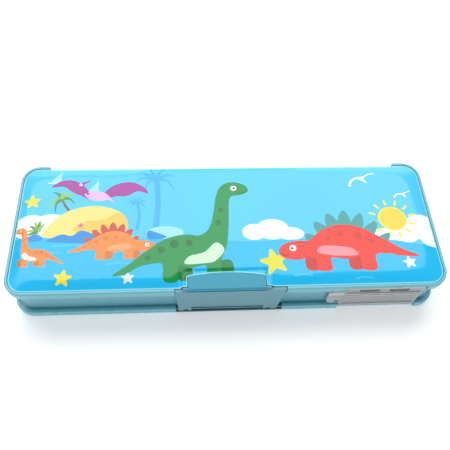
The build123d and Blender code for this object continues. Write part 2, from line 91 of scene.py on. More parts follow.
def ramp(nodes, links, fac, stops):
    """A colour ramp with (position, colour) stops."""
    r = nodes.new("ShaderNodeValToRGB")
    e = r.color_ramp.elements
    while len(e) < len(stops):
        e.new(0.5)
    for el, (p, c) in zip(e, stops):
        el.position = p
        el.color = c
    links.new(fac, r.inputs["Fac"])
    return r.outputs["Color"]


def bump(nodes, links, height, strength, distance, shader):
    """Fine relief on a shader, its depth given in metres."""
    b = nodes.new("ShaderNodeBump")
    b.inputs["Strength"].default_value = strength
    b.inputs["Distance"].default_value = distance
    links.new(height, b.inputs["Height"])
    links.new(b.outputs["Normal"], shader.inputs["Normal"])


def roughness(nodes, links, value, low, high, shader, span=(0.3, 0.7)):
    """Roughness that goes from low to high as a value goes over its span."""
    mr = nodes.new("ShaderNodeMapRange")
    mr.inputs["From Min"].default_value, mr.inputs["From Max"].default_value = span
    mr.inputs["To Min"].default_value = low
    mr.inputs["To Max"].default_value = high
    links.new(value, mr.inputs["Value"])
    links.new(mr.outputs["Result"], shader.inputs["Roughness"])


def multiply(nodes, links, a, b):
    """The product of two colours."""
    mix = nodes.new("ShaderNodeMix")
    mix.data_type = "RGBA"
    mix.blend_type = "MULTIPLY"
    mix.inputs["Factor"].default_value = 1.0
    links.new(a, mix.inputs["A"])
    links.new(b, mix.inputs["B"])
    return mix.outputs["Result"]


def shade(color, k):
    """A colour made darker or paler by a factor."""
    return (color[0] * k, color[1] * k, color[2] * k, 1.0)


def moulded(name, color, rough=0.34, grain=0.15, ior=1.49, spread=0.10):
    """Moulded satin plastic: faint flow clouds, a fine spark-eroded grain, scuffed roughness."""
    m, n, l, p = material(name)
    co = n.new("ShaderNodeTexCoord").outputs["Object"]
    cloud = noise(n, l, co, 26.0, 4.0)
    l.new(ramp(n, l, cloud, [(0.3, shade(color, 1 - spread)), (0.7, shade(color, 1 + spread * 0.6))]),
          p.inputs["Base Color"])
    scuff = noise(n, l, co, 160.0, 4.0)
    roughness(n, l, scuff, rough - 0.03, rough + 0.05, p)
    bump(n, l, noise(n, l, co, 2600.0, 2.0), grain, 0.04 * MM, p)
    p.inputs["IOR"].default_value = ior
    return m


def metal(name, color, rough, stretch=(1, 1, 12)):
    """Drawn or ground steel: fine lines in its colour, gloss and surface."""
    m, n, l, p = material(name)
    co = n.new("ShaderNodeTexCoord").outputs["Object"]
    lines = noise(n, l, co, 700.0, 4.0, 0.6, stretch)
    l.new(ramp(n, l, lines, [(0.25, shade(color, 0.82)), (0.75, shade(color, 1.08))]),
          p.inputs["Base Color"])
    p.inputs["Metallic"].default_value = 1.0
    roughness(n, l, lines, rough - 0.06, rough + 0.1, p, (0.0, 1.0))
    bump(n, l, lines, 0.12, 0.03 * MM, p)
    return m


def dress(mat, *names):
    """Give carried-over CAD nodes a material."""
    for name in names:
        me = NODES[name].data
        me.materials.clear()
        me.materials.append(mat)


# ---------------------------------------------------------------- camera

YAW, DOWN, ROLL = math.radians(6.667), math.radians(59.112), math.radians(4.745)
CAMERA_X, CAMERA_Y, CAMERA_Z = -18.985 * MM, -150.442 * MM, 280.124 * MM
LENS = 42.97

cam_data = bpy.data.cameras.new("camera")
cam_data.sensor_width = 36.0
cam_data.lens = LENS
cam_data.clip_start = 0.01
cam = bpy.data.objects.new("camera", cam_data)
bpy.context.scene.collection.objects.link(cam)
ahead = Vector((math.sin(YAW) * math.cos(DOWN), math.cos(YAW) * math.cos(DOWN), -math.sin(DOWN)))
right0 = Vector((math.cos(YAW), -math.sin(YAW), 0.0))
down0 = ahead.cross(right0)
right = right0 * math.cos(ROLL) - down0 * math.sin(ROLL)
down = right0 * math.sin(ROLL) + down0 * math.cos(ROLL)
cam.matrix_world = Matrix((
    (right.x, -down.x, -ahead.x, CAMERA_X),
    (right.y, -down.y, -ahead.y, CAMERA_Y),
    (right.z, -down.z, -ahead.z, CAMERA_Z),
    (0, 0, 0, 1)))
bpy.context.scene.camera = cam


# ---------------------------------------------------------------- the printed picture
# Shapes are closed outlines in millimetres on the lid, painted one over the other.

SKY, SKY_PALE, SEA = srgb(84, 204, 246), srgb(160, 228, 250), srgb(34, 190, 242)
WHITE, INK = srgb(250, 252, 252), srgb(38, 24, 26)
YELLOW, LEMON = srgb(252, 224, 40), srgb(232, 222, 48)
SAND, SAND_DEEP = srgb(255, 226, 130), srgb(255, 202, 90)
GREEN, GREEN_DEEP, MINT = srgb(22, 148, 72), srgb(14, 116, 56), srgb(206, 246, 206)
RED, ROSE = srgb(240, 58, 44), srgb(250, 150, 160)
ORANGE, ORANGE_DEEP = srgb(250, 142, 68), srgb(232, 110, 50)
PEACH, BRICK, CREAM = srgb(252, 168, 110), srgb(205, 82, 64), srgb(250, 236, 222)
VIOLET, LILAC = srgb(168, 66, 158), srgb(232, 186, 236)
WAVE, GHOST = srgb(28, 146, 222), srgb(62, 178, 234)
TEAL, LEAF = srgb(66, 158, 160), srgb(150, 196, 76)
LEAF_DEEP, BARK, GREY = srgb(78, 148, 88), srgb(130, 96, 90), srgb(228, 232, 230)
SUN, PINK = srgb(255, 212, 66), srgb(214, 110, 160)

art = []        # (colour, closed outline), the lowest shape first


def stretch_of_curve(a, b, c, d, n):
    """n points of a smooth (Catmull-Rom) curve, from b on towards c."""
    a, b, c, d = (np.array(p, float) for p in (a, b, c, d))
    out = []
    for s in range(n):
        t = s / n
        out.append(0.5 * (2 * b + (c - a) * t + (2 * a - 5 * b + 4 * c - d) * t * t
                          + (3 * b - a - 3 * c + d) * t ** 3))
    return out


def curve(points, n=5):
    """Closed smooth outline through the points."""
    out, m = [], len(points)
    for i in range(m):
        out += stretch_of_curve(*(points[(i + k - 1) % m] for k in range(4)), n)
    return [tuple(p) for p in out]


def arc_points(points, n=5):
    """Open smooth line through the points."""
    out, m = [], len(points)
    for i in range(m - 1):
        ids = (max(i - 1, 0), i, i + 1, min(i + 2, m - 1))
        out += stretch_of_curve(*(points[k] for k in ids), n)
    out.append(np.array(points[-1], float))
    return out


def blob(color, *points, n=5):
    """A smooth closed shape through the points."""
    art.append((color, curve(points, n)))


def poly(color, *points):
    """A shape with straight sides."""
    art.append((color, [tuple(map(float, p)) for p in points]))


def oval(color, x, y, rx, ry=None, n=26):
    """An ellipse, or a disc when it has one radius."""
    ry = rx if ry is None else ry
    pts = []
    for i in range(n):
        a = 2 * math.pi * i / n
        pts.append((x + rx * math.cos(a), y + ry * math.sin(a)))
    art.append((color, pts))


def line(color, width, *points, tip=1.0):
    """A stroke; at its end it is tip times as wide as at its start."""
    mid = arc_points(points)
    lefts, rights = [], []
    for i, p in enumerate(mid):
        a, b = mid[max(i - 1, 0)], mid[min(i + 1, len(mid) - 1)]
        d = (b - a) / (np.linalg.norm(b - a) + 1e-9)
        w = 0.5 * width * (1 + (tip - 1) * i / (len(mid) - 1))
        lefts.append(tuple(p + w * np.array((-d[1], d[0]))))
        rights.append(tuple(p - w * np.array((-d[1], d[0]))))
    art.append((color, lefts + rights[::-1]))


def star(color, x, y, r, turn=0.0, inner=0.52):
    """A plump five-pointed star with rounded tips."""
    pts = []
    for i in range(10):
        a = math.radians(90 + turn + 36 * i)
        k = r if i % 2 == 0 else r * inner
        spread = 0.10 if i % 2 == 0 else 0.05
        for da in (-spread, spread):
            pts.append((x + k * math.cos(a + da), y + k * math.sin(a + da)))
    art.append((color, pts))


def eye(x, y, r, face):
    """A round eye that looks the way the figure faces."""
    px = x + 0.2 * face * r
    oval(WHITE, x, y, r, r * 1.02)
    oval(INK, px, y, r * 0.42)
    oval(WHITE, px + r * 0.16, y + r * 0.16, r * 0.13, n=10)


def paint_sky_and_sea():
    # pale sails far away
    for x, y in ((-95, 28), (-74, 21)):
        poly(SKY_PALE, (x - 3, y), (x + 3, y), (x + 2.6, y + 8))
        line(WHITE, 0.5, (x - 4.5, y - 0.6), (x + 4.5, y - 0.4))
    # faint palms far away
    for px, py, k in ((-40, 29, 1.0), (-50, 13, 0.52)):
        line(GHOST, 2.6 * k, (px + 0.5, py), (px + 2, py - 14 * k), (px + 1, py - 33 * k), tip=1.3)
        for dx, dy in ((-12, -3), (-11, 4), (-4, 8), (6, 7), (12, 1), (11, -7), (-6, -8), (3, -8)):
            line(GHOST, 2.6 * k, (px, py), (px + 0.6 * dx * k, py + (0.5 * dy + 2.6) * k),
                 (px + dx * k, py + dy * k), tip=0.12)
    # clouds
    for x, y, rx, ry in ((-105, -1, 10, 7.5), (-95, 1, 8, 6), (-88, -4, 8, 5), (-34, -6, 10, 4),
                         (14, -6.5, 6.5, 5), (24, -5, 9, 6.4), (34, -8, 7, 4), (107, -5, 10, 8),
                         (96, -8, 10, 7), (86, -10, 9, 4.5), (112, -10, 8, 8)):
        oval(WHITE if x > 0 or x < -80 else SKY_PALE, x, y, rx, ry, n=36)
    # island
    blob(SAND, (-99, -6), (-94, 2), (-88, 7.5), (-80, 10.8), (-71, 11.6), (-62, 9.4), (-56, 5),
         (-54, -2), (-60, -8), (-72, -7), (-84, -8), (-93, -8))
    blob(SAND_DEEP, (-83, -3), (-76, 2), (-67, 3), (-59, 7), (-55, 3), (-54, -3), (-60, -9),
         (-70, -8), (-78, -6.5))
    # sea
    art.append((SEA, [(-116.0, -8.6), (-104.0, -7.6), (-88.0, -9.0), (-70.0, -9.6), (-40.0, -9.4),
                      (-15.0, -10.9), (10.0, -12.3), (35.0, -11.6), (55.0, -10.8), (75.0, -11.2),
                      (92.0, -13.4), (104.0, -16.0), (116.0, -18.2), (116.0, -42.0), (-116.0, -42.0)]))
    # waves
    blob(WAVE, (-96, -10), (-92, -7.2), (-88, -5.8), (-83, -6.8), (-79, -3.8), (-75, -4.6),
         (-70, -7), (-64, -9.4), (-68, -11.6), (-78, -11.4), (-88, -10.8))
    blob(WAVE, (-109, -9), (-105, -6.6), (-101, -5.6), (-98, -8.6), (-102, -10))
    blob(WAVE, (-43, -4.6), (-38, -6), (-33, -8.6), (-37, -9.8), (-43, -9.4))
    for x, y, w in ((-84, -13, 9), (-66, -13.4, 5), (-58, -24, 6), (-92, -17, 4), (88, -20, 5),
                    (12, -32, 6), (38, -33, 5), (-30, -34, 5), (70, -35, 5)):
        line(SKY, 1.1, (x - w, y), (x, y + 0.7), (x + w, y), tip=0.5)


def paint_shore():
    # palm on the island
    line(BARK, 1.6, (-86, 9), (-88.6, 12.6), (-90.6, 16.6), tip=0.7)
    for c, pts in ((LEAF_DEEP, ((-90.6, 16.6), (-93, 20), (-96, 21))),
                   (LEAF, ((-90.6, 16.6), (-87, 19.4), (-83.6, 19.6))),
                   (LEAF_DEEP, ((-90.6, 16.6), (-86.8, 16.8), (-83.2, 13.4))),
                   (LEAF, ((-90.6, 16.6), (-95, 15.4), (-96.6, 10))),
                   (LEAF_DEEP, ((-90.6, 16.6), (-93.4, 13.4), (-93.2, 8))),
                   (LEAF, ((-90.6, 16.6), (-90.6, 20), (-88.6, 22)))):
        line(c, 2.6, *pts, tip=0.15)
    for i, (dx, dy) in enumerate(((-6.5, 0.6), (-5, 3.6), (-2.6, 6), (0.4, 6.6), (3, 5), (-6.8, -2))):
        line(LEAF_DEEP if i % 2 else LEAF, 2.4, (-101, -4), (-101 + 0.6 * dx, -4 + 0.75 * dy),
             (-101 + dx, -4 + dy), tip=0.15)
    star(PINK, -79, -0.6, 1.7)
    star(PINK, -70.4, -4.2, 1.3, 20)
    star(YELLOW, -106.4, 15, 4.4, 6)
    star(YELLOW, -85.4, -31.4, 4.6, -6)
    star(GREY, -52.6, -32, 3.4, 4)
    star(LEMON, 23.4, -24.6, 7.6, 12)
    star(WHITE, 95.6, -26.4, 3.6, 8)


def paint_sun_and_gulls():
    for i in range(12):
        a = math.radians(30 * i + 12)
        c, s = math.cos(a), math.sin(a)
        line(YELLOW, 1.3, (91.6 + 9.6 * c, 0.6 + 9.0 * s), (91.6 + 13.2 * c, 0.6 + 12.4 * s), tip=0.8)
    oval(YELLOW, 91.6, 0.6, 8.1, 7.7)
    oval(SUN, 91.9, 0.3, 6.9, 6.5)
    line(WHITE, 1.5, (71, 22.6), (72.4, 26), (76, 28.4), (80, 29), (83.5, 31), (87, 31.4), tip=0.3)
    poly(WHITE, (75.5, 28.6), (79.5, 29.4), (81.6, 24.8))
    line(WHITE, 1.1, (95.6, 14.6), (97.6, 16.8), (101, 17.2), (105.4, 19), tip=0.3)
    poly(WHITE, (99.2, 17.2), (102, 17.4), (102.6, 14.4))


FAR_LEG = 0.72          # shade of the legs on the far side


def placed(x, y, k, face):
    """Puts a figure's own points on the lid: scaled, and mirrored when it faces left."""
    return lambda *pts: [(x + face * k * px, y + k * py) for px, py in pts]


def long_neck(color, belly, spot, x, y, k, face=1):
    """A plain four-legged dinosaur with a long neck, standing on (x, y)."""
    at = placed(x, y, k, face)
    for foot in (-3.0, 16.0):
        blob(shade(color, FAR_LEG),
             *at((foot - 3, 0.6), (foot - 2.6, 9), (foot + 2.6, 9), (foot + 3, 0.6)))
    blob(color, *at((-36, 3), (-28, 9), (-20, 16), (-12, 21.4), (-3, 23.6), (4, 23), (8.6, 27), (11, 36),
                    (12.4, 45), (15.4, 51.4), (21, 53.6), (27, 51.6), (28.6, 48), (25, 45.8), (20.4, 45),
                    (18.8, 42), (18.4, 35), (17.8, 26), (16.6, 17), (14, 10), (13.4, 0), (7, 0), (6.6, 7),
                    (0, 6), (-6, 7.4), (-6.4, 0), (-12.8, 0), (-13.4, 8), (-18, 8.6), (-24, 7), (-30, 3.6)),
         n=6)
    blob(belly, *at((15.4, 15), (11, 9.4), (5, 8.2), (-3, 8.2), (-1, 12), (6, 14), (11.6, 19)))
    for px, py, r in ((-14, 15.6, 1.7), (-8, 18.6, 2.2), (-1, 19, 1.8), (-20, 11.6, 1.3), (13, 30, 1.4),
                      (14.4, 37, 1.2)):
        oval(spot, *at((px, py))[0], r * k, n=16)
    eye(*at((21.4, 49.8))[0], 1.5 * k, face)
    line(shade(color, 0.6), 0.6 * k, *at((23.4, 47), (26, 47.2), (28, 48.4)))


def plated(color, belly, plate, x, y, k, face=1):
    """A plain four-legged dinosaur with plates along its back, standing on (x, y)."""
    at = placed(x, y, k, face)
    for i in range(8):
        # each plate stands square to the back, which is a parabola; the middle ones are longest
        px = -22 + 5.0 * i
        py = 21.6 - 0.031 * (px + 1) ** 2
        slope = -0.062 * (px + 1)
        length, norm = 8.4 - 0.42 * (i - 3.5) ** 2, math.hypot(1, slope)
        nx, ny = -slope / norm, 1 / norm
        mx, my = px + 0.6 * length * nx, py + 0.6 * length * ny
        blob(plate, *at((px - 2.6 * ny, py + 2.6 * nx), (mx - 2.4, my),
                        (px + length * nx, py + length * ny), (mx + 2.4, my),
                        (px + 2.6 * ny, py - 2.6 * nx)), n=4)
    for foot in (-4.4, 14.6):
        blob(shade(color, FAR_LEG),
             *at((foot - 2.8, 0.6), (foot - 2.6, 8), (foot + 2.6, 8), (foot + 2.8, 0.6)))
    blob(color, *at((-33, 6), (-26, 9.6), (-18, 15), (-9, 20.6), (0, 22.4), (9, 19.6), (15, 14.6),
                    (20, 14.4), (26, 13), (29, 9.6), (27, 6.2), (21, 5), (15, 6.4), (13, 5), (12.6, 0),
                    (6.6, 0), (6.2, 5.6), (0, 5), (-6.4, 5.8), (-6.8, 0), (-13, 0), (-13.6, 6.6),
                    (-19, 7.4), (-26, 6)), n=6)
    blob(belly, *at((12, 8.6), (6, 7), (-1, 6.6), (-6, 7.2), (-3, 10.4), (4, 11.6), (10, 11.4)))
    for px, py, r in ((-13, 13.6, 1.4), (-7, 16.6, 1.9), (0.6, 17.4, 1.5), (6.6, 15, 1.1)):
        oval(shade(color, 0.78), *at((px, py))[0], r * k, n=16)
    eye(*at((22.6, 10.8))[0], 1.5 * k, face)
    line(shade(color, 0.55), 0.6 * k, *at((24.6, 7.4), (26.8, 7.6), (28.2, 8.8)))


def flyer(color, inner, x, y, k, face=1):
    """A plain flying dinosaur with both wings spread, its body at (x, y)."""
    at = placed(x, y, k, face)
    blob(color, *at((-4, 1), (-11, 8), (-21, 10.6), (-30, 7), (-34, 1), (-27, 3), (-20, -0.6),
                    (-12, -1), (-5, -3.6)))
    blob(color, *at((4, 1.4), (9, 8), (16, 12.4), (24, 12), (30, 7), (22, 7.4), (16, 3), (10, 0), (4, -3)))
    blob(inner, *at((-7, 0.6), (-3, 3), (4, 3.4), (8, 1.6), (4, -3), (-3, -4.4), (-8, -3.4), (-12, -6)))
    line(color, 1.8 * k, *at((5, 1), (8.6, 4), (11, 8)), tip=0.8)
    blob(color, *at((4, 12.4), (9, 11), (12.6, 9.6), (20, 7.2), (13, 6.6), (9.6, 6.8), (8.6, 9)))
    eye(*at((11, 8.9))[0], 1.0 * k, face)


def paint_dinosaurs():
    flyer(VIOLET, LILAC, -72, 18.6, 0.84, -1)
    long_neck(ORANGE, CREAM, ORANGE_DEEP, -101.0, -24.4, 0.43, -1)
    plated(ORANGE, PEACH, BRICK, -60.0, -21.0, 0.74)
    long_neck(GREEN, MINT, GREEN_DEEP, -20.0, -34.0, 1.13)
    plated(RED, ROSE, TEAL, 61.5, -30.0, 1.22, -1)


paint_sky_and_sea()
paint_sun_and_gulls()
paint_shore()
paint_dinosaurs()


# ---------------------------------------------------------------- padded covers

def rounded(x0, y0, x1, y1, r, n):
    """Outline of a rounded rectangle, anticlockwise, with n steps in each corner."""
    out = []
    for cx, cy, a0 in ((x1 - r, y1 - r, 0), (x0 + r, y1 - r, 90), (x0 + r, y0 + r, 180),
                       (x1 - r, y0 + r, 270)):
        for i in range(n + 1):
            a = math.radians(a0 + 90 * i / n)
            out.append((cx + r * math.cos(a), cy + r * math.sin(a)))
    return out


def inside(points, outline):
    """Which of the points lie in a closed outline."""
    p = np.asarray(points, float)
    o = np.asarray(outline, float)
    hit = np.zeros(len(p), bool)
    for (x0, y0), (x1, y1) in zip(o, np.roll(o, -1, 0)):
        if y0 == y1:
            continue
        cross = (y0 > p[:, 1]) != (y1 > p[:, 1])
        at = x0 + (p[:, 1] - y0) * (x1 - x0) / (y1 - y0)
        hit ^= cross & (p[:, 0] < at)
    return hit


def edge_distance(points, outline):
    """Distance from each point to a closed outline."""
    p = np.asarray(points, float)
    o = np.asarray(outline, float)
    best = np.full(len(p), 1e9)
    for a, b in zip(o, np.roll(o, -1, 0)):
        d = b - a
        t = np.clip(((p - a) @ d) / (d @ d + 1e-12), 0, 1)
        best = np.minimum(best, np.hypot(*(p - (a + t[:, None] * d)).T))
    return best


def resample(outline, step):
    """The outline with points no further than step apart."""
    out = []
    for a, b in zip(outline, outline[1:] + outline[:1]):
        a, b = np.array(a, float), np.array(b, float)
        n = max(1, int(math.ceil(np.linalg.norm(b - a) / step)))
        out += [tuple(a + (b - a) * i / n) for i in range(n)]
    return out


PRESSURE = 6.0
FRAMES = 20             # of the cloth simulation


def puffed(outline, edge_z, step=2.5):
    """Heights of a sheet held along an outline and blown up from below, by cloth simulation.
    edge_z gives the height in millimetres at which the sheet is held at each outer point."""
    o = np.array(outline)
    x0, y0 = o.min(0) - step
    x1, y1 = o.max(0) + step
    nx, ny = int((x1 - x0) / step) + 1, int((y1 - y0) / step) + 1
    xs, ys = np.linspace(x0, x1, nx), np.linspace(y0, y1, ny)
    gx, gy = np.meshgrid(xs, ys)
    pts = np.stack([gx.ravel(), gy.ravel()], 1)
    free = inside(pts, outline) & (edge_distance(pts, outline) > 0.3 * step)
    z = edge_z(pts)
    me = bpy.data.meshes.new("puff")
    faces = [(j * nx + i, j * nx + i + 1, (j + 1) * nx + i + 1, (j + 1) * nx + i)
             for j in range(ny - 1) for i in range(nx - 1)]
    me.from_pydata([(x * MM, y * MM, h * MM) for (x, y), h in zip(pts, z)], [], faces)
    ob = bpy.data.objects.new("puff", me)
    bpy.context.scene.collection.objects.link(ob)
    held = ob.vertex_groups.new(name="held")
    held.add([int(i) for i in np.flatnonzero(~free)], 1.0, "REPLACE")
    cl = ob.modifiers.new("cloth", "CLOTH")
    s = cl.settings
    s.quality = 8
    s.vertex_group_mass = "held"
    s.use_pressure = True
    s.uniform_pressure_force = PRESSURE
    s.effector_weights.gravity = 0.0
    s.tension_stiffness = s.compression_stiffness = 12.0
    s.bending_stiffness = 0.3
    cl.point_cache.frame_start, cl.point_cache.frame_end = 1, FRAMES
    for f in range(1, FRAMES + 1):
        bpy.context.scene.frame_set(f)
    ev = ob.evaluated_get(bpy.context.evaluated_depsgraph_get())
    co = np.zeros(len(me.vertices) * 3, np.float32)
    ev.data.vertices.foreach_get("co", co)
    z = co.reshape(-1, 3)[:, 2].astype(float) / MM
    bpy.context.scene.frame_set(1)
    bpy.data.objects.remove(ob)
    bpy.data.meshes.remove(me)
    return xs, ys, z.reshape(ny, nx)


def sample(grid, points):
    """Smooth look-up in a height grid (quadratic B-spline)."""
    xs, ys, z = grid
    p = np.asarray(points, float)
    u = (p[:, 0] - xs[0]) / (xs[1] - xs[0])
    v = (p[:, 1] - ys[0]) / (ys[1] - ys[0])
    i, j = np.rint(u).astype(int), np.rint(v).astype(int)
    du, dv = u - i, v - j
    wu = (0.5 * (0.5 - du) ** 2, 0.75 - du ** 2, 0.5 * (0.5 + du) ** 2)
    wv = (0.5 * (0.5 - dv) ** 2, 0.75 - dv ** 2, 0.5 * (0.5 + dv) ** 2)
    out = np.zeros(len(p))
    for b in range(3):
        for a in range(3):
            out += wu[a] * wv[b] * z[np.clip(j + b - 1, 0, len(ys) - 1),
                                     np.clip(i + a - 1, 0, len(xs) - 1)]
    return out


def softmin(a, b, k):
    """The smaller of two values, with the corner rounded over about k."""
    return -k * np.logaddexp(-a / k, -b / k)


LIP_HIGHLIGHT_WIDTH, LIP_HIGHLIGHT = 0.6, srgb(150, 230, 246)      # painted highlight of the rim's lip, along the sheet's edge
BORDER_ROWS = (0.35, 0.8, 1.4, 2.1, 2.9, 3.8, 4.8)      # rows of points along the rounded border
ROW_GAP, GRID_GAP = 0.3, 0.6                    # how far rows and grid stay from the outline
MERGE = 1e-4            # points nearer than this become one
LEAST_AREA = 1e-7       # smaller slivers are dropped


def moved_in(outline, by):
    """The outline moved inwards."""
    o = np.array(outline)
    along = np.roll(o, -1, 0) - o
    inward = np.stack([-along[:, 1], along[:, 0]], 1) / np.linalg.norm(along, axis=1)[:, None]
    both = inward + np.roll(inward, 1, 0)
    return o + by * both / np.linalg.norm(both, axis=1)[:, None]


def print_points(outline, border, step):
    """Points inside an outline: a staggered grid, and closer rows along the rounded border."""
    o = np.array(outline)
    gx, gy = np.meshgrid(np.arange(o[:, 0].min(), o[:, 0].max(), step),
                         np.arange(o[:, 1].min(), o[:, 1].max(), step))
    gx = gx + np.where(np.arange(gx.shape[0]) % 2, 0.5 * step, 0.0)[:, None]
    grid = np.stack([gx.ravel(), gy.ravel()], 1)
    grid = grid[inside(grid, outline) & (edge_distance(grid, outline) > GRID_GAP)]
    rows = []
    for inset in BORDER_ROWS:
        for a, b in zip(border, border[1:] + border[:1]):
            a, b = np.array(a), np.array(b)
            t = (b - a) / (np.linalg.norm(b - a) + 1e-9)
            rows.append((a + b) / 2 + inset * np.array((-t[1], t[0])))
    rows = np.array(rows)
    rows = rows[inside(rows, outline) & (edge_distance(rows, outline) > ROW_GAP)]
    return np.vstack([grid, rows])


def print_mesh(name, outline, shapes, ground, height, step):
    """A sheet over an outline: cut along every shape's edge, coloured by the topmost shape; when it has
    shapes, a painted highlight runs along its border.
    """
    verts, edges = [], []

    def ring(pts):
        n0 = len(verts)
        verts.extend(Vector(p) for p in pts)
        edges.extend((n0 + i, n0 + (i + 1) % len(pts)) for i in range(len(pts)))

    border = resample(outline, step)
    ring(border)
    if shapes:
        ring(moved_in(border, LIP_HIGHLIGHT_WIDTH))
    for _, pts in shapes:
        ring(pts)
    verts.extend(Vector(p) for p in print_points(outline, border, step))
    vs, _, fs, _, _, _ = delaunay_2d_cdt(verts, edges, [], 0, MERGE)
    co = np.array([tuple(v) for v in vs])
    tri = np.array([f for f in fs if len(f) == 3])
    mid = co[tri].mean(1)
    keep = inside(mid, outline)
    area = np.abs(np.cross(co[tri[:, 1]] - co[tri[:, 0]], co[tri[:, 2]] - co[tri[:, 0]]))
    keep &= area > LEAST_AREA
    tri, mid = tri[keep], mid[keep]
    used = np.unique(tri)
    remap = np.zeros(len(co), int)
    remap[used] = np.arange(len(used))
    co, tri = co[used], remap[tri]
    me = bpy.data.meshes.new(name)
    z = height(co)
    me.from_pydata([(x * MM, y * MM, h * MM) for (x, y), h in zip(co, z)], [], tri.tolist())
    color = np.tile(np.array(ground, np.float32), (len(tri), 1))
    for c, pts in shapes:
        color[inside(mid, pts)] = c
    # painted highlight along the border, where the rim's lip catches the light
    if shapes:
        color[edge_distance(mid, outline) < 0.9 * LIP_HIGHLIGHT_WIDTH] = LIP_HIGHLIGHT
    at = me.color_attributes.new("print", "FLOAT_COLOR", "CORNER")
    at.data.foreach_set("color", np.repeat(color, 3, axis=0).ravel())
    me.polygons.foreach_set("use_smooth", [True] * len(me.polygons))
    ob = bpy.data.objects.new(name, me)
    bpy.context.scene.collection.objects.link(ob)
    return ob


def vinyl(name, color=None):
    """Soft vinyl sheet. With no colour it is the glossy one, which takes its picture from the mesh."""
    printed = color is None
    m, n, l, p = material(name)
    co = n.new("ShaderNodeTexCoord").outputs["Object"]
    cloud = noise(n, l, co, 14.0, 3.0)
    if printed:
        ink = n.new("ShaderNodeVertexColor")
        ink.layer_name = "print"
        tone = ramp(n, l, cloud, [(0.3, (0.93, 0.95, 0.97, 1)), (0.7, (1.0, 1.0, 1.0, 1))])
        l.new(multiply(n, l, ink.outputs["Color"], tone), p.inputs["Base Color"])
    else:
        l.new(ramp(n, l, cloud, [(0.3, shade(color, 0.92)), (0.7, shade(color, 1.04))]),
              p.inputs["Base Color"])
    low, high = (0.10, 0.17) if printed else (0.26, 0.38)
    roughness(n, l, noise(n, l, co, 60.0, 4.0), low, high, p)
    wave = noise(n, l, co, 38.0, 2.0)
    grain = noise(n, l, co, 1500.0 if printed else 900.0, 2.0)
    relief = n.new("ShaderNodeMath")
    relief.operation = "MULTIPLY_ADD"
    relief.inputs[1].default_value = 0.02 if printed else 0.12
    l.new(grain, relief.inputs[0])
    l.new(wave, relief.inputs[2])
    bump(n, l, relief.outputs["Value"], 0.35, 0.6 * MM, p)
    p.inputs["IOR"].default_value = 1.52
    p.inputs["Specular IOR Level"].default_value = 0.32 if printed else 0.5
    return m


cover_lo, cover_hi = (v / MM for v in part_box("lid_cover"))
RIM_AND_GAP = 1.9       # from the rim's outer face to the pad
cover_lo.y = RIM_AND_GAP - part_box("lid_frame")[1].y / MM
tab_lo, tab_hi = (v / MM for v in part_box("latch_tab"))
rim_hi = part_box("lid_frame")[1].z / MM

EDGE_LID, EDGE_TAB = rim_hi - 0.45, tab_hi.z - 0.55     # where the sheet is tucked in
EDGE_BLEND = 2.5        # over which it rises to the tab
EDGE_TAB_Y = -28.0      # which it does only in front of this
LUG, LUG_Y = 3.0, cover_lo.y + 0.5      # beside the tab the pad clears the hinge lugs
POCKET = 0.35           # gap round the tab
ARCH_Y, ARCH_RISE = -32.4, 2.0          # the pocket's arched back
ARCH_STEPS = 12
CORNER, CORNER_STEPS = 8.1, 8           # corners of both pads
RETURN_X = 99.7         # between the rims' rear returns the pads end a little earlier
REAR_STEP = 0.8
BAND = 5.5              # width of the rounded border
PAD_STEP, BASE_STEP = 1.6, 3.0          # mesh sizes
FOAM_TOP = 29.75        # the foam slab under the lid's sheet, and its slight crown
CROWN, CROWN_X, CROWN_Y = 0.35, 112, 37


def pad_box(lo, hi):
    """Rounded rectangle of a pad, anticlockwise, its rear edge set back between the returns."""
    box = rounded(lo.x, lo.y, hi.x, hi.y, CORNER, CORNER_STEPS)
    corner = CORNER_STEPS + 1
    back = hi.y - REAR_STEP
    rear = [(RETURN_X + 0.4, hi.y), (RETURN_X, back), (-RETURN_X, back), (-RETURN_X - 0.4, hi.y)]
    return box[:corner], rear, box[corner:3 * corner], box[3 * corner:]


def lid_outline():
    """The lid pad from above, anticlockwise: rounded, with a pocket with an arched back for
    the latch tab."""
    first, rear, middle, last = pad_box(cover_lo, cover_hi)
    # the front edge runs from left to right, round the pocket
    x0, x1 = tab_lo.x - POCKET, tab_hi.x + POCKET
    arch = []
    for i in range(ARCH_STEPS + 1):
        t = i / ARCH_STEPS
        y = ARCH_Y + ARCH_RISE * (1 - (2 * t - 1) ** 2) + POCKET
        arch.append((x0 + (x1 - x0) * t, y))
    left = [(x0 - LUG, cover_lo.y), (x0 - LUG + 0.2, LUG_Y), (x0 - 0.3, LUG_Y), (x0, LUG_Y + 0.3)]
    right = [(x1, LUG_Y + 0.3), (x1 + 0.3, LUG_Y), (x1 + LUG - 0.2, LUG_Y), (x1 + LUG, cover_lo.y)]
    return first + rear + middle + left + arch + right + last


def lid_edge(points):
    """Height at which the lid's sheet is tucked in: low at the rims, high beside the tab."""
    p = np.asarray(points, float)
    gap = np.maximum(np.maximum(tab_lo.x - p[:, 0], p[:, 0] - tab_hi.x), 0.0)
    near = np.clip(1.0 - gap / EDGE_BLEND, 0, 1) * np.clip((EDGE_TAB_Y - p[:, 1]) / 2.0, 0, 1)
    return EDGE_LID + (EDGE_TAB - EDGE_LID) * near


outline = lid_outline()
puff = puffed(outline, lid_edge)
PROBE = [(-60.0, cover_lo.y + BAND)]    # a plain stretch of the border
LID_GAIN = (FOAM_TOP - EDGE_LID) / float((sample(puff, PROBE) - EDGE_LID)[0])


def lid_height(points):
    """Puffed sheet, lying flat where the foam slab holds it."""
    p = np.asarray(points, float)
    across = np.clip(1 - (p[:, 0] / CROWN_X) ** 2, 0, 1)
    top = FOAM_TOP + CROWN * across * np.clip(1 - (p[:, 1] / CROWN_Y) ** 2, 0, 1)
    edge = lid_edge(p)
    return softmin(edge + LID_GAIN * np.maximum(sample(puff, p) - edge, 0.0), top, 0.10)


